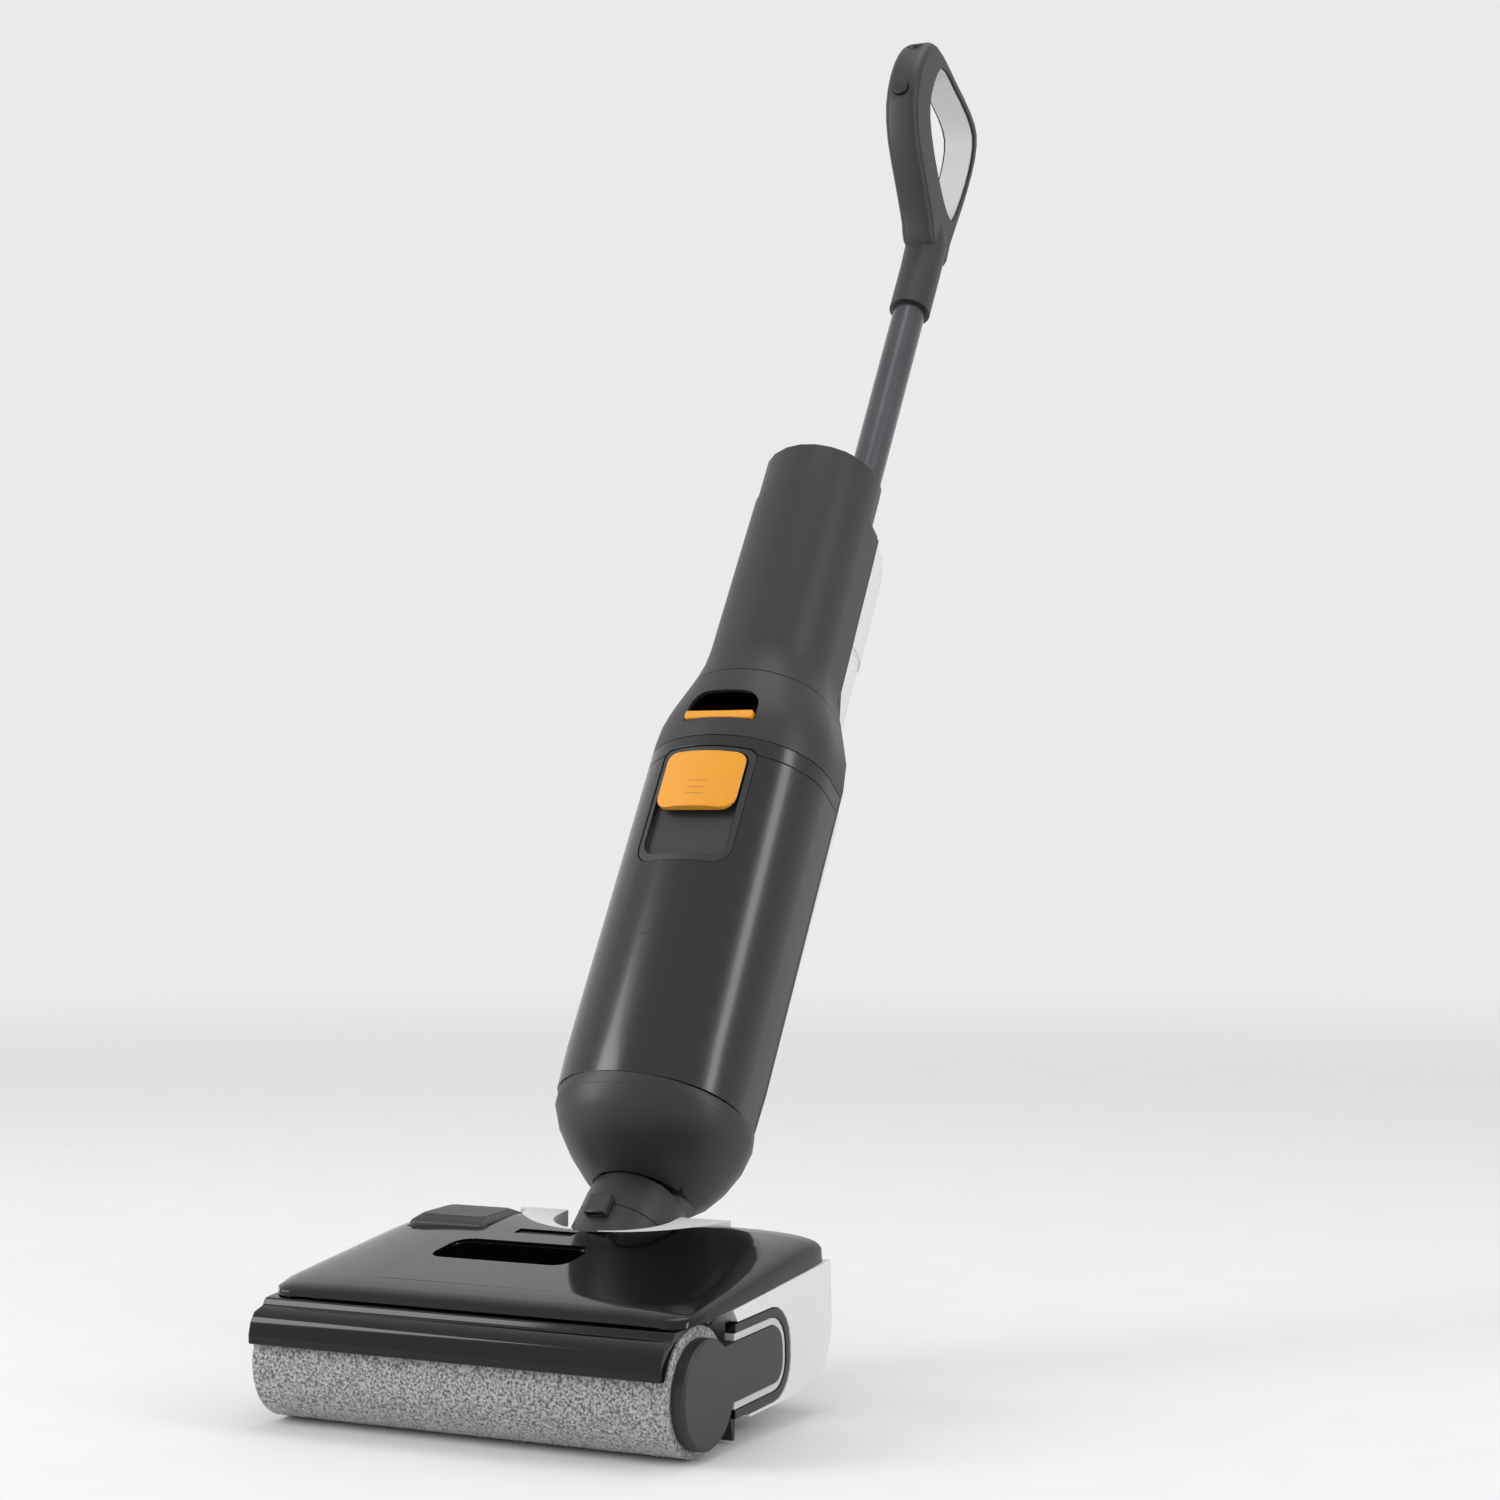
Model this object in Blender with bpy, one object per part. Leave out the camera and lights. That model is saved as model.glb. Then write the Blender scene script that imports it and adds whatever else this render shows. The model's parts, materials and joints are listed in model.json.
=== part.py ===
"""Wet dry floor scrubber: a floor head on a powered roller and two wheels, and a reclining body.

Frames, all in metres with +Z up and the front at -Y:
  head pieces are given with y measured from the roller's axis and z from the floor;
  body pieces are given with z (called s) along the body's axis, -y at its front and +y at its back.
The body leans back by BODY_LEAN and turns about the recline pivot and the neck's own axis.
"""
import math

import bmesh
import bpy
from mathutils import Matrix, Vector

# ---------------------------------------------------------------- driving dimensions
GAP = 0.0004                 # clearance between neighbouring pieces
HEAD_WIDTH = 0.287
ROLLER_RADIUS = 0.037
REAR_WALL_Y = 0.1645         # head's rear face behind the roller's axis
WALL = 0.0025                # moulded wall of the casings

CORE_RADIUS = 0.0285
CORE_WALL = 0.003
END_PLATE = 0.002            # left bearing plate
END_COVER = 0.0075           # right end cover's thickness
END_DISC_RADIUS = 0.0315
STUB_RADIUS = 0.0045         # end cover's stub in the roller's right hub

PIVOT_Y = 0.1476             # recline pivot, behind the roller's axis
PIVOT_Z = 0.0818
NECK_LEAN = math.radians(47.5)
BODY_LEAN = math.radians(31.4)
BODY_FOOT_Y = 0.1617         # a point on the body's axis, where s = 0
BODY_FOOT_Z = 0.1097

NECK_RADIUS = 0.0325
YOKE_HALF = 0.0345           # half the length of the yoke's cross boss
BOSS_RADIUS = 0.0095
SWIVEL_S = 0.0185            # seam between yoke and neck tube, along the neck's axis
NECK_TOP_S = 0.0455
NOTCH_HALF = 0.0375
NOTCH_FLOOR = 0.030
NOTCH_FRONT_Y = 0.100
PIN_RADIUS = 0.005

WHEEL_RADIUS = 0.021
WHEEL_WIDTH = 0.014
WHEEL_X = 0.070
WHEEL_Y = 0.143
TYRE_THICKNESS = 0.003
AXLE_RADIUS = 0.003

BASE_BOTTOM = 0.0145
DUCT_HALF = 0.060            # half the width of the suction mouth
DUCT_FOOT = 0.0180
UNDERPLATE = 0.003

TANK_HALF_WIDTH = 0.0654
TANK_FRONT = 0.0560
TANK_BOTTOM_S = 0.0720
TANK_TOP_S = 0.3232
TANK_WALL = 0.0022
PIPE_Y = -0.0045             # axis of the inlet pipe and the float inside the tank
SPINE_Y = 0.0245             # plane where the tank's flat back meets the rear frame
SPINE_THICKNESS = 0.0040
BACK_Y = 0.0690              # back face of the clean-water tank
CUP_BOTTOM_S = 0.0180
SHOULDER_TOP_S = 0.3818
HOUSING_TOP_S = 0.5810
HOUSING_RADIUS = 0.0428
COVER_TOP_S = 0.5435
CLEAN_TOP_S = 0.4520

TUBE_RADIUS = 0.0125
TUBE_WALL = 0.0012
TUBE_Y = 0.0582
TUBE_FOOT_S = 0.470
TUBE_TOP_S = 0.840
SLEEVE_S = 0.788
SLEEVE_RADIUS = 0.0160
LOOP_WIDTH = 0.027

BUTTON_HALF_WIDTH = 0.0295
BUTTON_BOTTOM_S = 0.2670
BUTTON_TOP_S = 0.3105
RECESS_HALF_WIDTH = 0.0350
RECESS_BOTTOM_S = 0.2260
RECESS_TOP_S = 0.3150
WINDOW_HALF_WIDTH = 0.0270
WINDOW_BOTTOM_S = 0.3375
WINDOW_TOP_S = 0.3620

HALF = HEAD_WIDTH / 2
ROLLER_LEFT = -HALF + END_PLATE + 0.0003
ROLLER_RIGHT = HALF - END_COVER - 0.0010
HANDLE_REAR_Y = 0.079
BODY_DEPTH = BODY_FOOT_Y + 0.955 * math.sin(BODY_LEAN) + HANDLE_REAR_Y * math.cos(BODY_LEAN)
ROLLER_Y = -(BODY_DEPTH - 0.0425) / 2      # puts the footprint's middle at the origin

# ---------------------------------------------------------------- scene and materials
for old in list(bpy.data.objects):
    bpy.data.objects.remove(old, do_unlink=True)

PALETTE = {
    "charcoal": ((0.045, 0.045, 0.048), 0.45, 0.0),
    "gloss_black": ((0.010, 0.010, 0.011), 0.08, 0.0),
    "smoke": ((0.018, 0.020, 0.023), 0.12, 0.0),
    "white": ((0.75, 0.75, 0.76), 0.40, 0.0),
    "light_grey": ((0.52, 0.52, 0.53), 0.45, 0.0),
    "orange": ((0.78, 0.34, 0.045), 0.35, 0.0),
    "fleece": ((0.24, 0.24, 0.245), 0.95, 0.0),
    "rubber": ((0.02, 0.02, 0.02), 0.80, 0.0),
    "steel": ((0.55, 0.55, 0.56), 0.30, 1.0),
    "tube_metal": ((0.085, 0.085, 0.09), 0.35, 0.9),
    "board": ((0.02, 0.16, 0.07), 0.50, 0.0),
    "filter": ((0.70, 0.70, 0.68), 0.90, 0.0),
}


def material(name, colour, roughness, metallic):
    """A Principled material with one colour."""
    mat = bpy.data.materials.new(name)
    mat.use_nodes = True
    shader = mat.node_tree.nodes["Principled BSDF"]
    shader.inputs["Base Color"].default_value = (*colour, 1.0)
    shader.inputs["Roughness"].default_value = roughness
    shader.inputs["Metallic"].default_value = metallic
    return mat


def empty(name, parent, place):
    """A frame that pieces hang from."""
    frame = bpy.data.objects.new(name, None)
    bpy.context.scene.collection.objects.link(frame)
    frame.parent = parent
    frame.matrix_basis = place
    return frame


def tilt(angle):
    """Turns +Z back towards +Y by an angle."""
    return Matrix.Rotation(-angle, 4, "X")


HEAD = empty("head_frame", None, Matrix.Translation((0, ROLLER_Y, 0)))
ROLLER = empty("roller_axis", HEAD, Matrix.Translation((0, 0, ROLLER_RADIUS)))
RECLINE = empty("recline_axis", HEAD, Matrix.Translation((0, PIVOT_Y, PIVOT_Z)))
NECK = empty("neck_axis", RECLINE, tilt(NECK_LEAN))
FOOT = Matrix.Translation((0, BODY_FOOT_Y - PIVOT_Y, BODY_FOOT_Z - PIVOT_Z))
BODY = empty("body_frame", NECK, tilt(NECK_LEAN).inverted() @ FOOT @ tilt(BODY_LEAN))


def finish(name, mesh, frame, look, smooth=35):
    """Turns a mesh into the piece's own object, with its faces pointing out."""
    bm = bmesh.new()
    bm.from_mesh(mesh)
    bmesh.ops.recalc_face_normals(bm, faces=bm.faces)
    bm.to_mesh(mesh)
    bm.free()
    mesh.shade_smooth()
    mesh.set_sharp_from_angle(angle=math.radians(smooth))
    piece = bpy.data.objects.new(name, mesh)
    bpy.context.scene.collection.objects.link(piece)
    piece.parent = frame
    colour, roughness, metallic = PALETTE[look]
    mesh.materials.clear()
    mesh.materials.append(material(name, colour, roughness, metallic))
    return piece


def solid(name, points, faces, frame, look, smooth=35):
    """A closed piece from its points and faces."""
    mesh = bpy.data.meshes.new(name)
    mesh.from_pydata([tuple(p) for p in points], [], faces)
    return finish(name, mesh, frame, look, smooth)


def loft(name, rings, frame, look, smooth=35):
    """Rings of equal count joined one to the next, with the first and the last filled."""
    count = len(rings[0])
    points = [p for ring in rings for p in ring]
    faces = []
    for level in range(len(rings) - 1):
        for i in range(count):
            j = (i + 1) % count
            low, high = level * count, (level + 1) * count
            faces.append((low + i, low + j, high + j, high + i))
    faces.append(tuple(range(count - 1, -1, -1)))
    top = (len(rings) - 1) * count
    faces.append(tuple(range(top, top + count)))
    return solid(name, points, faces, frame, look, smooth)


def open_ends(piece, levels):
    """Turns a lofted shell's two caps into one wall, so that the shell is open at both ends."""
    count = len(piece.data.vertices) // levels
    top = (levels - 1) * count
    bm = bmesh.new()
    bm.from_mesh(piece.data)
    bm.verts.ensure_lookup_table()
    caps = [f for f in bm.faces if max(v.index for v in f.verts) < count or min(v.index for v in f.verts) >= top]
    bmesh.ops.delete(bm, geom=caps, context="FACES_ONLY")
    for i in range(count):
        j = (i + 1) % count
        bm.faces.new((bm.verts[i], bm.verts[j], bm.verts[top + j], bm.verts[top + i]))
    bmesh.ops.recalc_face_normals(bm, faces=bm.faces)
    bm.to_mesh(piece.data)
    bm.free()


def turned(name, profile, frame, look, axis="Z", centre=(0, 0, 0), sides=32, closed=False):
    """A turned piece. profile lists (radius, height); a closed one is a ring with a hole."""
    points, faces = [], []
    middle = Vector(centre)
    rows = len(profile)
    for k in range(sides):
        turn = 2 * math.pi * k / sides
        for radius, height in profile:
            flat = Vector((radius * math.cos(turn), radius * math.sin(turn), height))
            if axis == "X":
                flat = Vector((flat.z, flat.x, flat.y))
            if axis == "Y":
                flat = Vector((flat.x, flat.z, flat.y))
            points.append(middle + flat)
    for k in range(sides):
        nxt = (k + 1) % sides
        for i in range(rows if closed else rows - 1):
            j = (i + 1) % rows
            faces.append((k * rows + i, k * rows + j, nxt * rows + j, nxt * rows + i))
    if not closed:
        faces.append(tuple(k * rows for k in range(sides)))
        faces.append(tuple(k * rows + rows - 1 for k in reversed(range(sides))))
    return solid(name, points, faces, frame, look)


def cylinder(name, radius, low, high, frame, look, axis="Z", centre=(0, 0, 0), sides=24, edge=0.0):
    """A plain round bar, with its ends chamfered by edge."""
    if edge:
        profile = [(radius - edge, low), (radius, low + edge), (radius, high - edge), (radius - edge, high)]
    else:
        profile = [(radius, low), (radius, high)]
    return turned(name, profile, frame, look, axis, centre, sides)


def pipe(name, outer, inner, low, high, frame, look, axis="Z", centre=(0, 0, 0), sides=32):
    """A round tube."""
    profile = [(outer, low), (outer, high), (inner, high), (inner, low)]
    return turned(name, profile, frame, look, axis, centre, sides, closed=True)


def box(name, low, high, frame, look, bevel=0.0, segments=1):
    """A box between two corners, with its edges rounded by a Bevel modifier."""
    (x0, y0, z0), (x1, y1, z1) = low, high
    points = [(x, y, z) for z in (z0, z1) for x, y in ((x0, y0), (x1, y0), (x1, y1), (x0, y1))]
    faces = [(3, 2, 1, 0), (4, 5, 6, 7), (0, 1, 5, 4), (1, 2, 6, 5), (2, 3, 7, 6), (3, 0, 4, 7)]
    piece = solid(name, points, faces, frame, look)
    if bevel:
        rounding = piece.modifiers.new("rounding", "BEVEL")
        rounding.width = bevel
        rounding.segments = segments
    return piece


def prism(name, outline, low, high, frame, look, axis="Z"):
    """An outline of (u, v) points pushed along an axis. On X the outline is (y, z), on Y it is (x, z)."""
    def place(u, v, w):
        return {"X": (w, u, v), "Y": (u, w, v), "Z": (u, v, w)}[axis]
    return loft(name, [[place(u, v, w) for u, v in outline] for w in (low, high)], frame, look)


def rounded(corners, steps=4):
    """An outline whose corners (u, v, radius) are turned into arcs."""
    outline = []
    count = len(corners)
    for i, (u, v, radius) in enumerate(corners):
        here = Vector((u, v))
        before = (Vector(corners[i - 1][:2]) - here).normalized()
        after = (Vector(corners[(i + 1) % count][:2]) - here).normalized()
        half = before.angle(after) / 2
        if radius <= 0 or half > 1.55:
            outline.append((u, v))
            continue
        reach = radius / math.tan(half)
        middle = here + (before + after).normalized() * (radius / math.sin(half))
        start = here + before * reach - middle
        end = here + after * reach - middle
        first = math.atan2(start.y, start.x)
        sweep = (math.atan2(end.y, end.x) - first + math.pi) % (2 * math.pi) - math.pi
        for k in range(steps + 1):
            angle = first + sweep * k / steps
            outline.append((middle.x + radius * math.cos(angle), middle.y + radius * math.sin(angle)))
    return outline


def arc(centre, radius, start, end, steps):
    """Points on an arc, from one angle to another in degrees."""
    return [(centre[0] + radius * math.cos(math.radians(start + (end - start) * k / steps)),
             centre[1] + radius * math.sin(math.radians(start + (end - start) * k / steps)))
            for k in range(steps + 1)]


def combine(piece, other, operation):
    """Cuts or joins a hidden shape with a live Boolean modifier."""
    other.hide_render = True
    other.display_type = "WIRE"
    change = piece.modifiers.new(other.name, "BOOLEAN")
    change.operation = operation
    change.solver = "EXACT"
    change.object = other


def cut(piece, cutter):
    combine(piece, cutter, "DIFFERENCE")


def join(piece, other):
    combine(piece, other, "UNION")


def between(table, s):
    """Straight-line value from rows of (s, value)."""
    for (s0, v0), (s1, v1) in zip(table, table[1:]):
        if s <= s1:
            t = min(max((s - s0) / (s1 - s0), 0.0), 1.0)
            t = t * t * (3 - 2 * t) if abs(v1 - v0) > 0.004 else t
            return v0 + (v1 - v0) * t
    return table[-1][1]


# ---------------------------------------------------------------- body sections
WIDTHS = [(TANK_BOTTOM_S, TANK_HALF_WIDTH - 0.0012), (0.10, TANK_HALF_WIDTH), (0.334, TANK_HALF_WIDTH),
          (0.412, 0.0445), (0.455, 0.0440), (HOUSING_TOP_S, HOUSING_RADIUS)]
DEPTHS = [(TANK_BOTTOM_S, TANK_FRONT - 0.0010), (0.10, TANK_FRONT), (0.334, TANK_FRONT),
          (0.412, 0.0440), (0.455, 0.0436), (HOUSING_TOP_S, HOUSING_RADIUS)]
BACK_WIDTHS = [(0.055, 0.0470), (0.100, 0.0560), (0.320, 0.0580), (0.380, 0.0420), (0.545, 0.0410)]
FRONT_STEPS = 20


def superarc(half_width, depth, middle_y, steps, power, side):
    """Half a superellipse from +X to -X: side -1 bulges to the front, +1 to the back."""
    ring = []
    for k in range(steps + 1):
        angle = math.pi * k / steps
        c, s = math.cos(angle), math.sin(angle)
        across = math.copysign(abs(c) ** (2 / power), c) * half_width
        out = abs(s) ** (2 / power) * depth
        ring.append((across, middle_y + side * out))
    return ring


def front_ring(s, inset=0.0, flat_y=SPINE_Y):
    """D-shaped section: a rounded front and a flat back at flat_y."""
    half = between(WIDTHS, s) - inset
    depth = between(DEPTHS, s) - inset
    back = flat_y - inset
    curve = superarc(half, depth, 0.0, FRONT_STEPS, 2.1, -1)
    return [Vector((half - 0.0016, back, s))] + [Vector((x, y, s)) for x, y in curve] + \
        [Vector((-half + 0.0016, back, s))]


def round_ring(s, radius):
    """A full circle with as many points as a front ring, starting where that starts."""
    count = FRONT_STEPS + 3
    return [Vector((radius * math.cos(a), radius * math.sin(a), s))
            for a in (math.radians(35 - (250 + 110 * (count - 1) / count) * k / (count - 1) * 1.0)
                      for k in range(count))]


def back_ring(s, inset=0.0, front_y=SPINE_Y + SPINE_THICKNESS + GAP, back_y=BACK_Y, widen=0.0):
    """Section behind the spine: flat in front, boxy and round-cornered at the back."""
    half = between(BACK_WIDTHS, s) - inset + widen
    depth = back_y - front_y - 2 * inset
    curve = superarc(half, depth, front_y + inset, FRONT_STEPS, 2.6, 1)
    return [Vector((x, y, s)) for x, y in curve]


def full_ring(s, half, front, back, middle_y=0.008, steps=FRONT_STEPS):
    """Closed section of the whole body."""
    ahead = superarc(half, middle_y + front, middle_y, steps, 2.1, -1)
    behind = superarc(half, back - middle_y, middle_y, steps, 2.4, 1)
    return [Vector((x, y, s)) for x, y in ahead] + [Vector((x, y, s)) for x, y in reversed(behind[1:-1])]


# ---------------------------------------------------------------- roller
def make_roller():
    """Fleece sleeve on a core tube, with two hubs and the motor inside."""
    pipe("roller_fleece", ROLLER_RADIUS, CORE_RADIUS + GAP / 2, ROLLER_LEFT, ROLLER_RIGHT, ROLLER, "fleece",
         "X", sides=40)
    pipe("roller_core", CORE_RADIUS, CORE_RADIUS - CORE_WALL, ROLLER_LEFT + 0.001, ROLLER_RIGHT - 0.001,
         ROLLER, "light_grey", "X", sides=32)
    inner = CORE_RADIUS - CORE_WALL - GAP / 2
    pipe("roller_hub_left", inner, 0.0200, ROLLER_LEFT + 0.001, ROLLER_LEFT + 0.011, ROLLER, "charcoal",
         "X", sides=28)
    turned("roller_hub_right", [(STUB_RADIUS + GAP, ROLLER_RIGHT - 0.020), (inner, ROLLER_RIGHT - 0.019),
                                (inner, ROLLER_RIGHT - 0.0012), (STUB_RADIUS + GAP, ROLLER_RIGHT - 0.0012)],
           ROLLER, "charcoal", "X", sides=28, closed=True)
    motor_left = -HALF + END_PLATE + GAP
    turned("roller_motor", [(0.0180, motor_left), (0.0190, motor_left + 0.002), (0.0190, motor_left + 0.085),
                            (0.0060, motor_left + 0.090), (0.0060, motor_left + 0.100)],
           ROLLER, "steel", "X", sides=24)


# ---------------------------------------------------------------- floor head
def lid_foot(y):
    """Height of the lid's lower edge at a distance behind the roller's axis."""
    return 0.0765 + 0.083 * y


def make_base():
    """White chassis: a tray with cavities for the drive parts and a notch for the neck."""
    profile = rounded([(0.0500, BASE_BOTTOM, 0.002), (0.1150, 0.0165, 0.03), (0.1560, 0.0270, 0.012),
                       (REAR_WALL_Y, 0.0500, 0.02), (0.1625, lid_foot(0.1625) - GAP, 0),
                       (0.0300, lid_foot(0.0300) - GAP, 0), (0.0480, 0.0560, 0.004)])
    base = prism("head_base", profile, -HALF, HALF, HEAD, "white", "X")
    inner = HALF - 0.010
    for name, x0, x1, y0, y1 in (("base_cavity_left", -inner, -NOTCH_HALF - 0.006, 0.0950, 0.1600),
                                 ("base_cavity_right", NOTCH_HALF + 0.006, inner, 0.0950, 0.1600),
                                 ("base_cavity_front", -inner, inner, 0.0530, NOTCH_FRONT_Y - 0.004)):
        cut(base, box(name, (x0, y0, 0.0220), (x1, y1, 0.1200), HEAD, "white"))
    cut(base, box("duct_way", (-DUCT_HALF - GAP, 0.04, DUCT_FOOT - GAP), (DUCT_HALF + GAP, 0.06, 0.0480),
                  HEAD, "white"))
    cut(base, box("hose_way", (-0.0270, 0.09, 0.0450), (0.0270, 0.11, 0.0670), HEAD, "white"))
    cut(base, box("grip_way", (GRIP_X - GRIP_HALF - 0.001, GRIP_Y[0] - 0.0015, 0.0715),
                  (GRIP_X + GRIP_HALF + 0.001, GRIP_Y[1] + 0.001, 0.12), HEAD, "white"))
    cut(base, prism("plate_seat", plate_outline(GAP), -HALF - 0.01, -HALF + END_PLATE + GAP, HEAD, "white", "X"))
    cut(base, box("base_notch", (-NOTCH_HALF, NOTCH_FRONT_Y, NOTCH_FLOOR), (NOTCH_HALF, 0.2, 0.12), HEAD, "white"))
    cut(base, cylinder("base_pin_bore", PIN_RADIUS + GAP, -NOTCH_HALF - 0.0055, NOTCH_HALF + 0.0055, HEAD,
                       "steel", "X", (0, PIVOT_Y, PIVOT_Z), 16))
    for side in (-1, 1):
        name = "left" if side < 0 else "right"
        cut(base, cylinder(f"wheel_well_{name}", WHEEL_RADIUS + 0.0025, side * WHEEL_X - WHEEL_WIDTH / 2 - 0.003,
                           side * WHEEL_X + WHEEL_WIDTH / 2 + 0.003, HEAD, "white", "X",
                           (0, WHEEL_Y, WHEEL_RADIUS), 24))
        cut(base, cylinder(f"axle_bore_{name}", AXLE_RADIUS + GAP / 2, side * WHEEL_X - 0.0185,
                           side * WHEEL_X + 0.0185, HEAD, "white", "X", (0, WHEEL_Y, WHEEL_RADIUS), 12))
    pocket = prism("trim_pocket", trim_outline(-GAP), HALF - END_COVER - 0.001, HALF + 0.01, HEAD, "white", "X")
    cut(base, pocket)
    return base


def link_outline(grow, front_y):
    """Rounded link on the head's right side that the end cover's arm fills, grown outwards."""
    low = arc((0.0835, 0.0397), 0.0117 + grow, -91, 0, 5)
    high = arc((0.0810, 0.0480), 0.0140 + grow, 2, 92, 5)
    return [(front_y, 0.0250 + 0.036 * front_y - grow)] + low + high + [(front_y, 0.0590 + 0.037 * front_y + grow)]


def trim_outline(shrink):
    """Outer edge of the trim round the link."""
    return link_outline(0.0105 - shrink, -0.030)


def make_right_side():
    """End cover that carries the roller's right end, with its trim and light lip."""
    outer = HALF
    inner = HALF - END_COVER
    cover = prism("roller_end_cover", link_outline(0.0, 0.0), inner, outer, HEAD, "charcoal", "X")
    disc = turned("end_cover_disc", [(END_DISC_RADIUS, inner - 0.0002), (END_DISC_RADIUS, outer - 0.001),
                                     (END_DISC_RADIUS - 0.0015, outer + 0.0005),
                                     (0.010, outer + 0.0005)], HEAD, "charcoal", "X",
                  (0, 0, ROLLER_RADIUS - 0.0012), 36)
    join(cover, disc)
    stub = cylinder("end_cover_stub", STUB_RADIUS, inner - 0.016, inner + 0.001, HEAD, "charcoal", "X",
                    (0, 0, ROLLER_RADIUS), 16)
    join(cover, stub)
    lip = prism("side_lip", link_outline(0.0045, -0.030), inner + 0.0005, outer - 0.0010, HEAD, "light_grey", "X")
    cut(lip, prism("lip_hole", link_outline(GAP, -0.030), inner - 0.01, outer + 0.01, HEAD, "light_grey", "X"))
    cut(lip, box("lip_front", (0, -0.05, 0), (0.2, 0.0330, 0.1), HEAD, "light_grey"))
    trim = prism("side_trim", trim_outline(GAP), inner + 0.0005, outer - 0.0002, HEAD, "gloss_black", "X")
    cut(trim, prism("trim_hole", link_outline(0.0045 + GAP, -0.030), inner - 0.01, outer + 0.01, HEAD,
                    "gloss_black", "X"))
    cut(trim, box("trim_front", (0, -0.05, 0), (0.2, 0.0330, 0.1), HEAD, "gloss_black"))


def plate_outline(grow):
    """Outline of the left bearing plate, grown outwards."""
    return rounded([(0.0, 0.0070 - grow, 0.020), (0.0600 + grow, 0.0150 - grow, 0.004),
                    (0.0600 + grow, 0.0690 + grow, 0.004), (-0.0280 - grow, 0.0640 + grow, 0.022),
                    (-0.0300 - grow, 0.0200 - grow, 0.018)], 4)


def make_left_side():
    """Thin bearing plate that carries the roller motor's left end."""
    prism("left_end_plate", plate_outline(0.0), -HALF, -HALF + END_PLATE, HEAD, "charcoal", "X")


LID_STATIONS = [(-0.0225, 0.1270, 0.0800, 0.0), (-0.0200, 0.1340, 0.0822, 0.0), (-0.0140, 0.1395, 0.0838, 1.0),
                (0.0000, 0.1422, 0.0868, 1.0), (0.0300, 0.1430, 0.0915, 1.0), (0.0700, 0.1430, 0.0975, 1.0),
                (0.1100, 0.1428, 0.1035, 1.0), (0.1400, 0.1424, 0.1068, 1.0), (0.1540, 0.1412, 0.1068, 1.0),
                (0.1570, 0.1405, 0.1060, 0.0), (0.1625, 0.1370, 0.1020, 0.0)]
ARCH_POWER = 5.0
ARCH_STEPS = 22


def lid_section(y, half, crest, hollow, gap=0.0):
    """An arch across the head with its own inner arch, closed along the lid's lower edge."""
    foot = lid_foot(max(y, -0.022)) + gap
    section = []
    for k in range(ARCH_STEPS + 1):
        angle = math.pi * k / ARCH_STEPS
        c, s = math.cos(angle), math.sin(angle)
        section.append((math.copysign(abs(c) ** (2 / ARCH_POWER), c) * half,
                        foot + (crest - foot) * abs(s) ** (2 / ARCH_POWER)))
    wall = WALL
    rise = (crest - foot - wall) if hollow else 0.0008
    for k in range(ARCH_STEPS, -1, -1):
        angle = math.pi * k / ARCH_STEPS
        c, s = math.cos(angle), math.sin(angle)
        section.append((math.copysign(abs(c) ** (2 / ARCH_POWER), c) * (half - wall),
                        foot + rise * abs(s) ** (2 / ARCH_POWER)))
    return [Vector((x, y, z)) for x, z in section]


NOTCH_ARC_CENTRE_Y = 0.200
NOTCH_ARC_RADIUS = 0.085
GRIP_X = -0.0240
GRIP_HALF = 0.0480
GRIP_Y = (0.0440, 0.0840)
GRIP_DEPTH = 0.016
LATCH_Y = (0.1010, 0.1095)
LATCH_HALF = 0.0200
BAY_X = (-0.1260, -0.0680)
BAY_Y = (0.1060, 0.1560)


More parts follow.
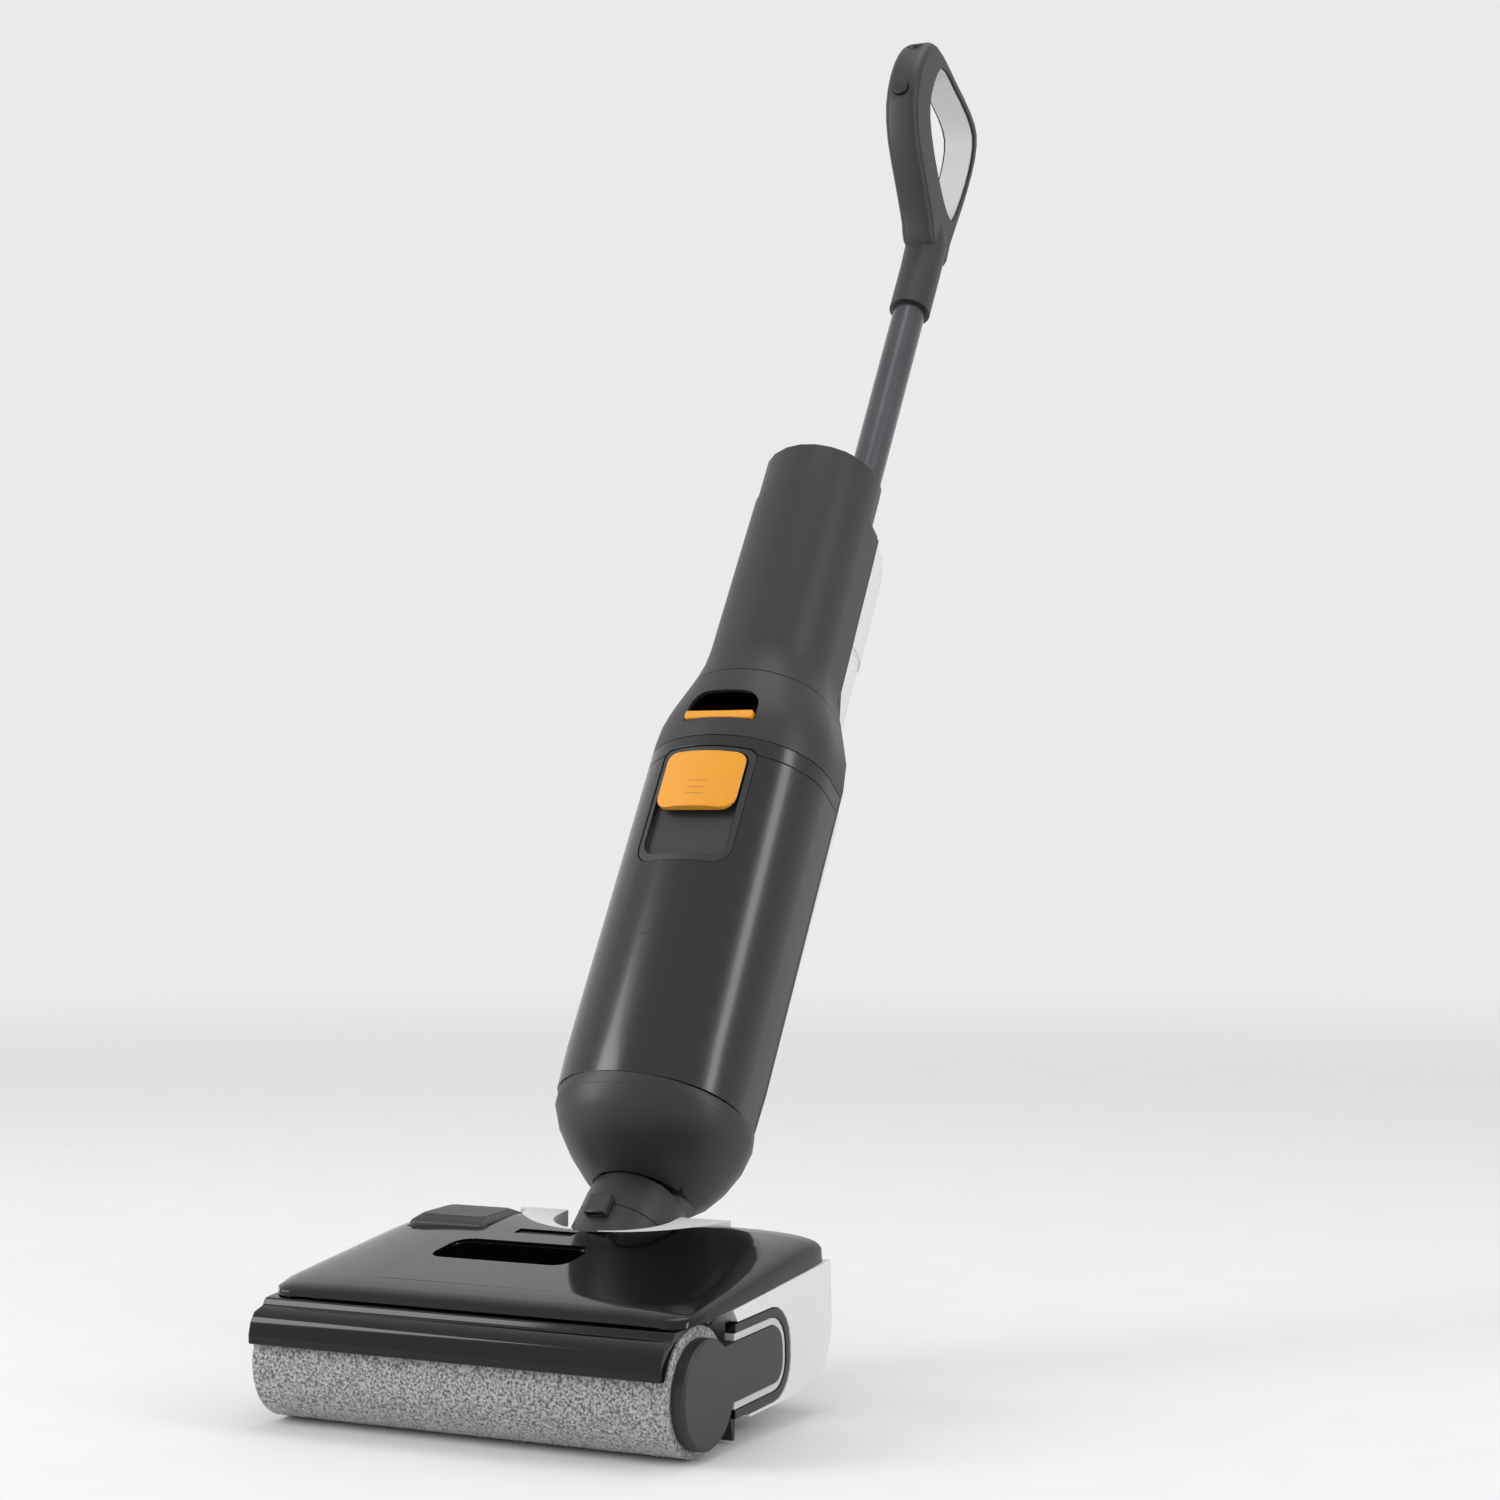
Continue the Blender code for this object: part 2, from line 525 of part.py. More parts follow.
def make_lid():
    """Glossy top lid with a neck notch, a grip recess and a latch slot."""
    lid = loft("top_lid", [lid_section(*row) for row in LID_STATIONS], HEAD, "gloss_black", 30)
    cut(lid, prism("lid_notch", arc((0, NOTCH_ARC_CENTRE_Y), NOTCH_ARC_RADIUS, 180, 360, 28), 0.05, 0.13,
                   HEAD, "gloss_black"))
    grip = rounded([(GRIP_X - GRIP_HALF, GRIP_Y[0], 0.010), (GRIP_X + GRIP_HALF, GRIP_Y[0], 0.010),
                    (GRIP_X + GRIP_HALF, GRIP_Y[1], 0.012), (GRIP_X - GRIP_HALF, GRIP_Y[1], 0.012)], 4)
    cut(lid, prism("lid_grip_hole", grip, 0.05, 0.13, HEAD, "gloss_black"))
    cut(lid, box("lid_latch_slot", (GRIP_X - LATCH_HALF - GAP, LATCH_Y[0] - GAP, 0.05),
                 (GRIP_X + LATCH_HALF + GAP, LATCH_Y[1] + GAP, 0.13), HEAD, "gloss_black"))
    cut(lid, box("lid_bay_cutout", (BAY_X[0] - GAP, BAY_Y[0] - GAP, 0.05),
                 (BAY_X[1] + GAP, BAY_Y[1] + GAP, 0.13), HEAD, "gloss_black"))

    slope = 0.155
    def ring(inset, z):
        pts = rounded([(GRIP_X - GRIP_HALF + inset, GRIP_Y[0] + inset, 0.009),
                       (GRIP_X + GRIP_HALF - inset, GRIP_Y[0] + inset, 0.009),
                       (GRIP_X + GRIP_HALF - inset, GRIP_Y[1] - inset, 0.011),
                       (GRIP_X - GRIP_HALF + inset, GRIP_Y[1] - inset, 0.011)], 4)
        middle = (GRIP_Y[0] + GRIP_Y[1]) / 2
        return [Vector((x, y, z + slope * (y - middle))) for x, y in pts]
    rim = 0.0945
    floor = rim - GRIP_DEPTH
    loft("lid_grip_cup", [ring(0.0030, floor - 0.002), ring(0.0004, floor + 0.003), ring(0.0004, rim),
                          ring(0.0022, rim), ring(0.0022, floor + 0.003), ring(0.0050, floor)],
         HEAD, "gloss_black")
    loft("lid_latch", [[Vector((GRIP_X + sx * LATCH_HALF, y, z + slope * (y - LATCH_Y[0])))
                        for sx, y in ((1, LATCH_Y[0]), (1, LATCH_Y[1]), (-1, LATCH_Y[1]), (-1, LATCH_Y[0]))]
                       for z in (0.0920, 0.1005)], HEAD, "charcoal")


def make_bay():
    """Raised block at the left rear of the head, on a post that stands in the chassis."""
    x0, x1 = BAY_X
    y0, y1 = BAY_Y
    def ring(inset, z, slope):
        middle = (y0 + y1) / 2
        pts = rounded([(x0 + inset, y0 + inset, 0.004), (x1 - inset, y0 + inset, 0.004),
                       (x1 - inset, y1 - inset, 0.004), (x0 + inset, y1 - inset, 0.004)], 2)
        return [Vector((x, y, z + slope * (y - middle))) for x, y in pts]
    loft("bay_cover", [ring(0, 0.0700, 0), ring(0, 0.1040, 0.05), ring(0.0010, 0.1055, 0.05),
                       ring(0.0065, 0.1090, 0.03)], HEAD, "charcoal", 20)


def make_surround():
    """Light saddle inside the lid's notch, open behind so that the neck can fold down flat."""
    outer = arc((0, NOTCH_ARC_CENTRE_Y), NOTCH_ARC_RADIUS - GAP * 1.5, 206.5, 333.5, 28)
    inner = [(0.0403 * math.sin(math.radians(a)), PIVOT_Y + 0.0031 - 0.0337 * math.cos(math.radians(a)))
             for a in range(84, -85, -12)]
    shape = outer + [(0.0403, 0.1620)] + inner + [(-0.0403, 0.1620)]
    def crest(y):
        return 0.1041 + 0.105 * (y - 0.1150)
    surround = loft("neck_surround", [[Vector((x, y, 0.0985)) for x, y in shape],
                                      [Vector((x, y, crest(y))) for x, y in shape]], HEAD, "white")
    for side in (-1, 1):
        ends = sorted((side * 0.0405, side * (NOTCH_HALF + 0.0060)))
        join(surround, box(f"surround_leg_{side}", (ends[0], 0.1300, lid_foot(0.1610) + GAP),
                           (ends[1], 0.1610, 0.0990), HEAD, "white"))
    cut(surround, box("surround_bay_cutout", (BAY_X[0] - GAP, BAY_Y[0] - GAP, 0.05),
                      (BAY_X[1] + GAP, BAY_Y[1] + GAP, 0.13), HEAD, "white"))
    for piece in (surround, bpy.data.objects["top_lid"]):
        cut(piece, box(f"clip_relief_{piece.name}", (-0.0125, 0.1135, 0.1010), (0.0065, 0.1250, 0.13), HEAD, "white"))


def make_front_cover():
    """Glossy cover over the roller: a curved shell with a stepped ledge under the lid."""
    under_lid = GAP + 0.0001
    outline = arc((0, ROLLER_RADIUS), ROLLER_RADIUS + 0.0012, 163, 62, 14)
    outline += [(0.0260, 0.0740), (0.0240, lid_foot(0.0240) - under_lid), (-0.0190, lid_foot(-0.0190) - under_lid),
                (-0.0250, 0.0735), (-0.0275, 0.0695), (-0.0360, 0.0668), (-0.0400, 0.0610), (-0.0418, 0.0540),
                (-0.0415, 0.0485)]
    right = HALF - END_COVER - 0.0012
    cover = prism("roller_cover", outline, -HALF + 0.0024, right, HEAD, "gloss_black", "X")
    return cover


def make_head_inside():
    """Drive, spray, scraper and suction parts inside the head."""
    box("spray_bar", (-0.120, 0.0275, 0.0640), (0.118, 0.0335, 0.0700), HEAD, "charcoal", 0.001)
    box("roller_scraper", (-0.134, 0.0385, 0.0460), (0.128, 0.0445, 0.0520), HEAD, "charcoal", 0.001)
    def mouth(y, half, low, high):
        return [Vector((x, y, z)) for x, z in ((-half, low), (half, low), (half, high), (-half, high))]
    foot = DUCT_FOOT
    outer = [mouth(0.0930, 0.0270, 0.0450, 0.0640), mouth(0.0545, DUCT_HALF, foot + 0.0080, foot + 0.0290),
             mouth(0.0475, DUCT_HALF, foot, foot + 0.0190)]
    inner = [mouth(0.0475, DUCT_HALF - 0.002, foot + 0.002, foot + 0.0170),
             mouth(0.0545, DUCT_HALF - 0.002, foot + 0.0100, foot + 0.0270),
             mouth(0.0930, 0.0250, 0.0470, 0.0620)]
    duct = loft("suction_duct", outer + inner, HEAD, "charcoal")
    open_ends(duct, len(outer) + len(inner))
    for side, name in ((-1, "left"), (1, "right")):
        inner_x, outer_x = side * (WHEEL_X - WHEEL_WIDTH / 2), side * (WHEEL_X + WHEEL_WIDTH / 2)
        low, high = min(inner_x, outer_x), max(inner_x, outer_x)
        spot = (0, WHEEL_Y, WHEEL_RADIUS)
        frame = empty(f"wheel_axis_{name}", HEAD, Matrix.Translation(spot))
        rim = WHEEL_RADIUS - TYRE_THICKNESS - GAP / 2
        pipe(f"wheel_{name}", rim, AXLE_RADIUS + GAP, low, high, frame, "charcoal", "X", sides=24)
        pipe(f"tyre_{name}", WHEEL_RADIUS, WHEEL_RADIUS - TYRE_THICKNESS, low, high, frame, "rubber", "X", sides=28)
        cylinder(f"axle_{name}", AXLE_RADIUS, side * WHEEL_X - 0.018, side * WHEEL_X + 0.018, frame,
                 "steel", "X", sides=12)
        cylinder(f"wheel_motor_{name}", 0.0140, side * 0.104 - 0.018, side * 0.104 + 0.018, HEAD, "steel", "X",
                 (0, 0.088, 0.0380), 20)
    underplate = box("base_plate", (-0.120, 0.0560, BASE_BOTTOM - UNDERPLATE - 0.0050),
                     (0.120, 0.1080, BASE_BOTTOM - 0.0050), HEAD, "charcoal", 0.001)
    for x in (-0.110, 0.110):
        join(underplate, cylinder(f"plate_foot_{x}", 0.006, BASE_BOTTOM - 0.006, BASE_BOTTOM - GAP / 2, HEAD,
                                  "charcoal", centre=(x, 0.066, 0), sides=12))
    prism("squeegee", [(0.0470, 0.0006), (0.0492, 0.0006), (0.0500, 0.0138), (0.0440, 0.0138)], -0.1370, HALF - 0.0090,
          HEAD, "rubber", "X")


# ---------------------------------------------------------------- neck
def make_neck():
    """Yoke that reclines on two pins, and the neck tube that swivels on its collar."""
    yoke = cylinder("neck_yoke", NECK_RADIUS, -0.0140, SWIVEL_S, NECK, "charcoal", sides=36)
    join(yoke, cylinder("yoke_collar", NECK_RADIUS - 0.0050, 0.0, SWIVEL_S + 0.0115, NECK, "charcoal", sides=36))
    join(yoke, cylinder("yoke_boss", BOSS_RADIUS, -YOKE_HALF, YOKE_HALF, RECLINE, "charcoal", "X", sides=24))
    cut(yoke, cylinder("yoke_bore", 0.0180, -0.03, 0.05, NECK, "charcoal", sides=24))
    cut(yoke, cylinder("yoke_pin_bore", PIN_RADIUS + GAP / 2, -YOKE_HALF - 0.01, YOKE_HALF + 0.01, RECLINE,
                       "charcoal", "X", sides=16))
    for side, name in ((-1, "left"), (1, "right")):
        ends = sorted((side * (YOKE_HALF - 0.010), side * (NOTCH_HALF + 0.0050)))
        cylinder(f"pivot_pin_{name}", PIN_RADIUS, ends[0], ends[1], RECLINE, "steel", "X", sides=16)
    inside = NECK_RADIUS - 0.0042
    turned("neck_tube", [(inside, SWIVEL_S + GAP), (NECK_RADIUS, SWIVEL_S + GAP), (NECK_RADIUS, NECK_TOP_S - 0.0100),
                         (NECK_RADIUS - 0.0010, NECK_TOP_S), (inside - 0.0010, NECK_TOP_S),
                         (inside, NECK_TOP_S - 0.0100)], NECK, "charcoal", sides=36, closed=True)
    clip = box("hose_clip", (-0.0080, -NECK_RADIUS - 0.0050, 0.0075), (0.0080, -NECK_RADIUS + 0.0010, 0.0225),
               NECK, "charcoal", 0.0008)
    cut(clip, box("clip_slot", (-0.0052, -NECK_RADIUS - 0.0034, -0.01), (0.0052, -NECK_RADIUS - 0.0008, 0.05),
                  NECK, "charcoal"))
    cut(clip, cylinder("clip_back", NECK_RADIUS + GAP, -0.02, 0.06, NECK, "charcoal", sides=36))
    for part in (clip, bpy.data.objects["clip_slot"]):
        part.rotation_euler.z = math.radians(-5)


# ---------------------------------------------------------------- body
def make_cup():
    """Lower cup that joins the neck to the tank and the rear frame."""
    rows = [(CUP_BOTTOM_S, 0.0325, 0.0120, 0.0500, 0.0230), (0.0240, 0.0405, 0.0210, 0.0560, 0.0210),
            (0.0360, 0.0510, 0.0360, 0.0630, 0.0150), (0.0500, 0.0600, 0.0490, 0.0665, 0.0100),
            (0.0620, TANK_HALF_WIDTH - 0.0006, TANK_FRONT - 0.0008, 0.0650, 0.0080),
            (TANK_BOTTOM_S - GAP, TANK_HALF_WIDTH - 0.0006, TANK_FRONT - 0.0004, 0.0610, 0.0080)]
    outer = [full_ring(*row) for row in rows]
    inner = [full_ring(row[0] + (0.003 if i == 0 else 0), row[1] - 0.004, row[2] - 0.004, row[3] - 0.004, row[4])
             for i, row in enumerate(rows)]
    cup = loft("lower_cup", outer + list(reversed(inner)), BODY, "charcoal", 40)
    cut(cup, cylinder("cup_neck_bore", NECK_RADIUS + 0.0003, 0.0, NECK_TOP_S + 0.004, NECK, "charcoal", sides=36))
    return cup


def make_tank():
    """Smoke-coloured dirty-water tank, with the parts that lift out with it."""
    levels = [TANK_BOTTOM_S, TANK_BOTTOM_S + 0.004, 0.100, 0.180, 0.260, TANK_TOP_S - 0.012]
    outer = [front_ring(s) for s in levels]
    inner = [front_ring(s if i else s + TANK_WALL, TANK_WALL) for i, s in enumerate(levels)]
    tank = loft("dirty_water_tank", outer + list(reversed(inner)), BODY, "smoke")
    lid_low = TANK_TOP_S - 0.012 + GAP
    lid = loft("tank_lid", [front_ring(lid_low), front_ring(TANK_TOP_S)], BODY, "smoke")
    cut(lid, box("tank_lid_port", (-0.016, -0.006, 0.2), (0.016, 0.014, 0.4), BODY, "smoke"))
    plate_levels = (RECESS_BOTTOM_S, RECESS_TOP_S)
    corner = 0.013
    outline = rounded([(-RECESS_HALF_WIDTH, plate_levels[0], corner), (RECESS_HALF_WIDTH, plate_levels[0], corner),
                       (RECESS_HALF_WIDTH, plate_levels[1], 0.006), (-RECESS_HALF_WIDTH, plate_levels[1], 0.006)], 4)
    hole = prism("recess_cutter", outline, -0.08, -0.030, BODY, "smoke", "Y")
    cut(tank, hole)
    cut(lid, hole)
    shrunk = rounded([(-RECESS_HALF_WIDTH + GAP, plate_levels[0] + GAP, corner),
                      (RECESS_HALF_WIDTH - GAP, plate_levels[0] + GAP, corner),
                      (RECESS_HALF_WIDTH - GAP, plate_levels[1] - GAP, 0.006),
                      (-RECESS_HALF_WIDTH + GAP, plate_levels[1] - GAP, 0.006)], 4)
    plate = prism("recess_plate", shrunk, -TANK_FRONT - 0.005, -0.0320, BODY, "charcoal", "Y")
    body = loft("recess_plate_limit", [front_ring(s, 0.0006) for s in (0.20, 0.30, 0.335)], BODY, "charcoal")
    combine(plate, body, "INTERSECT")
    dish = rounded([(-BUTTON_HALF_WIDTH - 0.0008, RECESS_BOTTOM_S + 0.006, 0.010),
                    (BUTTON_HALF_WIDTH + 0.0008, RECESS_BOTTOM_S + 0.006, 0.010),
                    (BUTTON_HALF_WIDTH + 0.0008, BUTTON_TOP_S + 0.0008, 0.0065),
                    (-BUTTON_HALF_WIDTH - 0.0008, BUTTON_TOP_S + 0.0008, 0.0065)], 4)
    cut(plate, prism("plate_dish", dish, -0.08, -0.0460, BODY, "charcoal", "Y"))
    cut(plate, cylinder("plate_spring_hole", 0.0052, -0.06, -0.02, BODY, "charcoal", "Y",
                        (0, 0, (BUTTON_BOTTOM_S + BUTTON_TOP_S) / 2), 16))
    face = rounded([(-BUTTON_HALF_WIDTH, BUTTON_BOTTOM_S, 0.010), (BUTTON_HALF_WIDTH, BUTTON_BOTTOM_S, 0.010),
                    (BUTTON_HALF_WIDTH, BUTTON_TOP_S, 0.0065), (-BUTTON_HALF_WIDTH, BUTTON_TOP_S, 0.0065)], 4)
    button = prism("tank_button", face, -TANK_FRONT - 0.006, -0.0500, BODY, "orange", "Y")
    limit = loft("tank_button_limit", [front_ring(s, -0.0012) for s in (0.20, 0.30, 0.335)], BODY, "orange")
    combine(button, limit, "INTERSECT")
    spring_s = (BUTTON_BOTTOM_S + BUTTON_TOP_S) / 2
    pipe("button_spring", 0.0045, 0.0034, -0.0465, -0.0325, BODY, "steel", "Y", (0, 0, spring_s), 16)
    pipe("inlet_pipe", 0.0150, 0.0130, TANK_BOTTOM_S + TANK_WALL + GAP, 0.2600, BODY, "smoke",
         centre=(0, PIPE_Y, 0), sides=24)
    pipe("float", 0.0240, 0.0160, 0.1300, 0.1520, BODY, "light_grey", centre=(0, PIPE_Y, 0), sides=24)
    box("tank_filter", (-0.0300, -0.0170, 0.2820), (0.0300, 0.0170, lid_low - GAP), BODY, "filter", 0.001)


def make_shoulder():
    """Tapered shoulder with the D-shaped window, the filter release and the seal over the tank."""
    levels = [TANK_TOP_S + GAP, 0.3340, 0.3440, 0.3540, 0.3640, 0.3740, SHOULDER_TOP_S]
    shell = loft("shoulder", [front_ring(s) for s in levels] +
                 [front_ring(s, 0.0035) for s in reversed(levels)], BODY, "charcoal")
    open_ends(shell, len(levels) * 2)
    corners = [(-WINDOW_HALF_WIDTH, WINDOW_BOTTOM_S, 0.002), (WINDOW_HALF_WIDTH, WINDOW_BOTTOM_S, 0.002),
               (WINDOW_HALF_WIDTH * 0.93, WINDOW_TOP_S, 0.012), (-WINDOW_HALF_WIDTH * 0.93, WINDOW_TOP_S, 0.012)]
    cut(shell, prism("window_cutter", rounded(corners, 4), -0.09, -0.0300, BODY, "charcoal", "Y"))
    box("filter_release", (-0.0255, -0.0545, 0.3380), (0.0255, -0.0380, 0.3442), BODY, "orange", 0.0012, 2)


def make_housing():
    """Motor housing with its cap, and the suction motor, battery and board inside."""
    low = SHOULDER_TOP_S + GAP
    bottom, top = COVER_TOP_S + 0.0006, HOUSING_TOP_S
    outer = [front_ring(s) for s in (low, 0.3900, 0.4000, 0.4120, 0.4550, bottom)]
    outer += [round_ring(bottom + 0.0002, HOUSING_RADIUS), round_ring(top - 0.002, HOUSING_RADIUS),
              round_ring(top, HOUSING_RADIUS - 0.0015)]
    inner = [front_ring(s, 0.0030) for s in (low, 0.3900, 0.4000, 0.4120, 0.4550, bottom)]
    inner += [round_ring(bottom + 0.0040, HOUSING_RADIUS - 0.003), round_ring(top, HOUSING_RADIUS - 0.003)]
    levels = len(outer) + len(inner)
    shell = loft("motor_housing", outer + list(reversed(inner)), BODY, "charcoal")
    open_ends(shell, levels)
    cap_low = top - 0.0030
    turned("display_cap", [(HOUSING_RADIUS - 0.0034, cap_low), (HOUSING_RADIUS - 0.0034, top - 0.0005),
                           (HOUSING_RADIUS - 0.0050, top + 0.0004)], BODY, "gloss_black", sides=36)
    turned("suction_motor", [(0.0060, 0.3900), (0.0200, 0.3902), (0.0200, 0.4300), (0.0150, 0.4400),
                             (0.0150, 0.4500)], BODY, "steel", sides=24)
    box("battery_pack", (-0.0270, -0.0250, 0.4560), (0.0270, 0.0180, 0.5280), BODY, "charcoal", 0.003, 2)
    box("control_board", (-0.0250, -0.0200, 0.5380), (0.0250, 0.0190, 0.5400), BODY, "board")


def make_back():
    """Rear frame, clean-water tank, its cap, the pump and the socket cover round the tube."""
    def plate_ring(s, half, y0, y1):
        return [Vector((half, y0, s)), Vector((half, y1, s)), Vector((-half, y1, s)), Vector((-half, y0, s))]
    frame_levels = (TANK_BOTTOM_S, 0.100, 0.200, 0.330, 0.352, 0.372, 0.390, 0.412, COVER_TOP_S)
    spine = loft("rear_frame", [plate_ring(s, between(WIDTHS, s) - 0.0022, SPINE_Y + GAP, SPINE_Y + SPINE_THICKNESS)
                                for s in frame_levels], BODY, "charcoal")
    levels = [TANK_BOTTOM_S + GAP, 0.080, 0.100, 0.180, 0.260, 0.320, 0.345, 0.360, 0.380, 0.410,
              CLEAN_TOP_S - 0.003]
    outer = [back_ring(s) for s in levels]
    inner = [back_ring(s if i else s + TANK_WALL, TANK_WALL) for i, s in enumerate(levels)]
    loft("clean_water_tank", outer + list(reversed(inner)), BODY, "white")
    loft("clean_tank_cap", [back_ring(CLEAN_TOP_S - 0.003 + GAP), back_ring(CLEAN_TOP_S)], BODY, "white")
    cover_levels = [CLEAN_TOP_S + GAP, 0.480, 0.510, 0.530]
    rings = [back_ring(s, back_y=0.0735) for s in cover_levels]
    rings.append([Vector((p.x * 0.93, SPINE_Y + SPINE_THICKNESS + GAP + (p.y - SPINE_Y - SPINE_THICKNESS) * 0.97,
                          COVER_TOP_S)) for p in back_ring(COVER_TOP_S, back_y=0.0735)])
    socket = loft("tube_socket", rings, BODY, "white")
    cut(socket, cylinder("tube_socket_bore", TUBE_RADIUS + GAP / 2, TUBE_FOOT_S - GAP, 0.60, BODY, "white",
                         centre=(0, TUBE_Y, 0), sides=32))


def make_tube():
    pipe("tube", TUBE_RADIUS, TUBE_RADIUS - TUBE_WALL, TUBE_FOOT_S, TUBE_TOP_S, BODY, "tube_metal",
         centre=(0, TUBE_Y, 0), sides=28)


# ---------------------------------------------------------------- handle
LOOP_OUTER = [(0.0730, 0.8450), (0.0745, 0.8650), (0.0780, 0.9000), (0.0800, 0.9300), (0.0790, 0.9620),
              (0.0700, 0.9840), (0.0480, 0.9915), (0.0100, 0.9905), (-0.0180, 0.9895), (-0.0360, 0.9830),
              (-0.0455, 0.9650), (-0.0480, 0.9420), (-0.0420, 0.9150), (-0.0240, 0.8920), (0.0060, 0.8720),
              (0.0300, 0.8560), (0.0420, 0.8450)]
LOOP_INNER = [(0.0660, 0.8880), (0.0700, 0.9060), (0.0722, 0.9320), (0.0710, 0.9580), (0.0640, 0.9760),
              (0.0450, 0.9820), (0.0150, 0.9812), (-0.0060, 0.9800), (-0.0170, 0.9720), (-0.0205, 0.9540),
              (-0.0180, 0.9330), (-0.0040, 0.9150), (0.0200, 0.8980), (0.0440, 0.8860), (0.0580, 0.8830)]
LINER = 0.0022


def smooth_loop(points, steps=2):
    """Catmull-Rom curve through a closed list of points."""
    curve = []
    count = len(points)
    for i in range(count):
        p0, p1, p2, p3 = (Vector(points[(i + k) % count]) for k in (-1, 0, 1, 2))
        for k in range(steps):
            t = k / steps
            curve.append(tuple(0.5 * ((2 * p1) + (p2 - p0) * t + (2 * p0 - 5 * p1 + 4 * p2 - p3) * t * t +
                                      (3 * p1 - p0 - 3 * p2 + p3) * t ** 3)))
    return curve


def offset_loop(points, inward):
    """Moves a closed outline towards its own middle side by a distance."""
    moved = []
    count = len(points)
    area = sum(points[i][0] * points[(i + 1) % count][1] - points[(i + 1) % count][0] * points[i][1]
               for i in range(count))
    turn = 1.0 if area > 0 else -1.0
    for i in range(count):
        before, after = Vector(points[i - 1]), Vector(points[(i + 1) % count])
        along = (after - before).normalized()
        moved.append((points[i][0] - along.y * inward * turn, points[i][1] + along.x * inward * turn))
    return moved


def make_handle():
    """Loop handle on a sleeve, with a light liner and two buttons."""
    outer = smooth_loop(LOOP_OUTER)
    def ring(width, inset):
        return [Vector((width, y, s)) for y, s in offset_loop(outer, inset)]
    half = LOOP_WIDTH / 2
    handle = loft("handle_shell", [ring(-half, 0.0050), ring(-half + 0.0022, 0.0018), ring(-half + 0.0060, 0.0),
                                   ring(half - 0.0060, 0.0), ring(half - 0.0022, 0.0018), ring(half, 0.0050)],
                  BODY, "charcoal", 50)
    def stem_ring(s, y, rx, ry):
        return [Vector((rx * math.cos(2 * math.pi * k / 24), y + ry * math.sin(2 * math.pi * k / 24), s))
                for k in range(24)]
    stem = loft("handle_stem", [stem_ring(SLEEVE_S, TUBE_Y, SLEEVE_RADIUS, SLEEVE_RADIUS),
                                stem_ring(0.8300, TUBE_Y, SLEEVE_RADIUS, SLEEVE_RADIUS),
                                stem_ring(0.8550, 0.0570, SLEEVE_RADIUS, 0.0172),
                                stem_ring(0.8680, 0.0520, 0.0140, 0.0200)], BODY, "charcoal")
    join(handle, stem)
    cut(handle, prism("loop_hole", smooth_loop(LOOP_INNER), -0.05, 0.05, BODY, "charcoal", "X"))
    cut(handle, cylinder("sleeve_bore", TUBE_RADIUS + GAP / 2, 0.77, TUBE_TOP_S + GAP, BODY, "charcoal",
                         centre=(0, TUBE_Y, 0), sides=28))
    inner = smooth_loop(LOOP_INNER)
    liner = prism("handle_liner", offset_loop(inner, GAP / 2), -half + 0.0022, half - 0.0022, BODY, "light_grey", "X")
    cut(liner, prism("liner_hole", offset_loop(inner, LINER), -0.05, 0.05, BODY, "light_grey", "X"))
    for name, y, s, lean in (("mode_button", -0.0462, 0.9260, 100.0), ("power_button", -0.0400, 0.9755, 45.0)):
        spot = empty(f"{name}_frame", BODY, Matrix.Translation((0, y, s)) @ Matrix.Rotation(math.radians(lean), 4, "X"))
        cut(handle, cylinder(f"{name}_well", 0.0066, -0.0042, 0.010, spot, "charcoal", sides=24))
        cylinder(name, 0.0062, -0.0026, 0.0016, spot, "charcoal", sides=24, edge=0.0006)


make_roller()
make_base()
make_right_side()
make_left_side()
make_lid()
make_bay()
make_surround()
make_front_cover()
make_head_inside()
make_neck()
make_cup()
make_tank()
make_shoulder()
make_housing()
make_back()
make_tube()
make_handle()
bpy.context.view_layer.update()
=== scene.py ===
"""Wet dry floor scrubber: finishes, roller pile, parting lines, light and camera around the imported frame.

Lengths are in metres. The casings keep the shapes of the frame's own nodes. What is added here is their
rolled edges, the pile on the roller, the parting lines and the finishes.
"""
import json
import math

import bpy
import numpy as np
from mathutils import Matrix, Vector


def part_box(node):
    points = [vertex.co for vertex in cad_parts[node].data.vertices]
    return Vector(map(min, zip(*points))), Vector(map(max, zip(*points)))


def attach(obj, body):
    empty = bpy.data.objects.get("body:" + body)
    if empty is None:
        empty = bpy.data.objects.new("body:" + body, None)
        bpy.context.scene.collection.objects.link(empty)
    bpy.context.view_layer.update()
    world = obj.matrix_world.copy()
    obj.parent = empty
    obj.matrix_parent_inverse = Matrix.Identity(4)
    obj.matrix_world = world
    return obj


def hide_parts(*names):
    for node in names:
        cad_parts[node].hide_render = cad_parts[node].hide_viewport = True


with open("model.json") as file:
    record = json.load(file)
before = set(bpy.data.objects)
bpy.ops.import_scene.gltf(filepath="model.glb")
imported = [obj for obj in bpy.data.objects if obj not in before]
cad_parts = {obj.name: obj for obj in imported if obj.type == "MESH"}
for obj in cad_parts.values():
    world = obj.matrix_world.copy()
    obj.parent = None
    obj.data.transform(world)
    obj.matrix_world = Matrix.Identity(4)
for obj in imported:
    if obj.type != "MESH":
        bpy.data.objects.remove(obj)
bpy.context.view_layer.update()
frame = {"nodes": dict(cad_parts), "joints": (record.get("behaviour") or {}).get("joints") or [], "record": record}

MM = 0.001
scene = bpy.context.scene
joints = {joint["name"]: joint for joint in frame["joints"]}
bodies = frame["record"]["behaviour"]["bodies"]
body_of = {node: body for body, members in bodies.items() for node in members}

